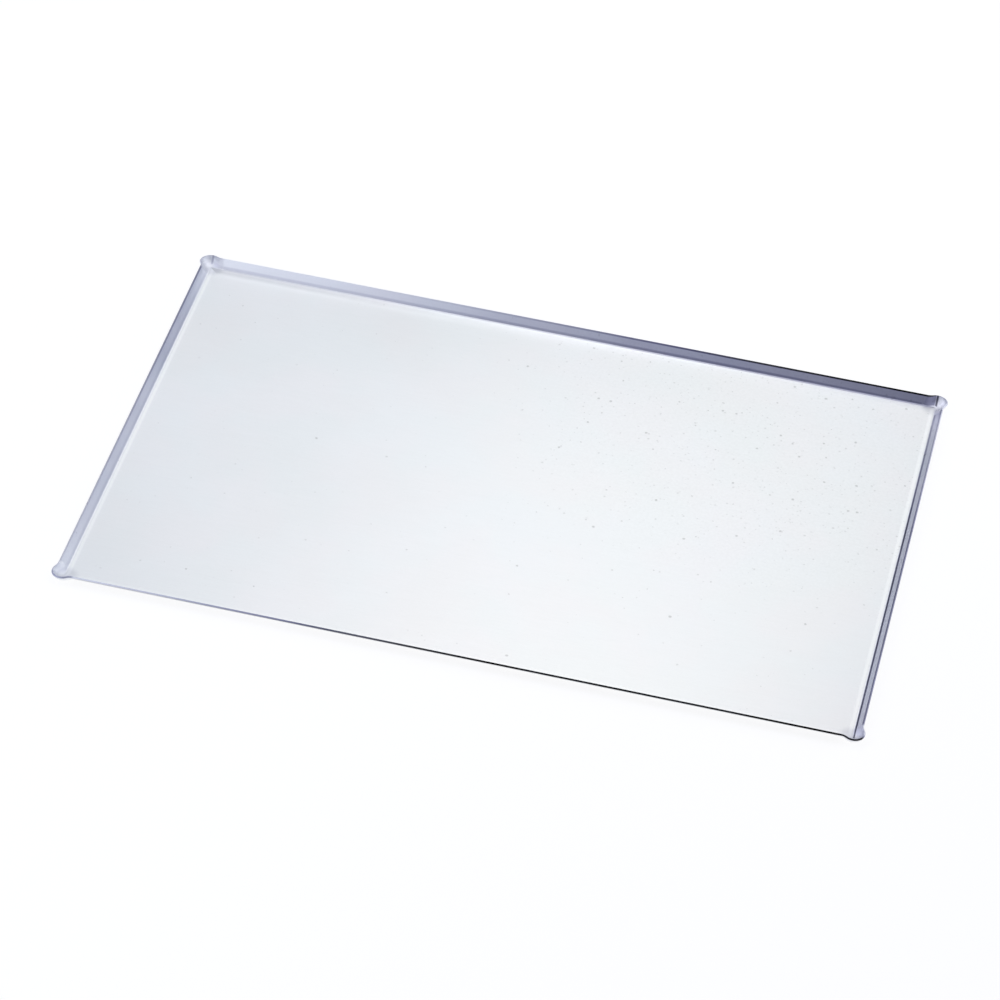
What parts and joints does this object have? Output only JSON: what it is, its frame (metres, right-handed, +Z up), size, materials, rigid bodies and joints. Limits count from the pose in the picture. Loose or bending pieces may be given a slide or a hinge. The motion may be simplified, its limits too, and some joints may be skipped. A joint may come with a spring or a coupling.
{
  "type": "cookie sheet",
  "caption": "Flat rectangular baking sheet with low sloping rims all round and a small pinched ear at each rounded corner.",
  "frame": {"origin": "centre of the flat underside, the face that the sheet rests on", "axes": "+X along the long side, +Y along the short side, +Z up out of the bed"},
  "size_m": [0.605, 0.405, 0.0076],
  "materials": {
    "baking_sheet": "satin"
  },
  "bodies": {
    "root": {"baking_sheet": "baking_sheet"}
  },
  "joints": []
}
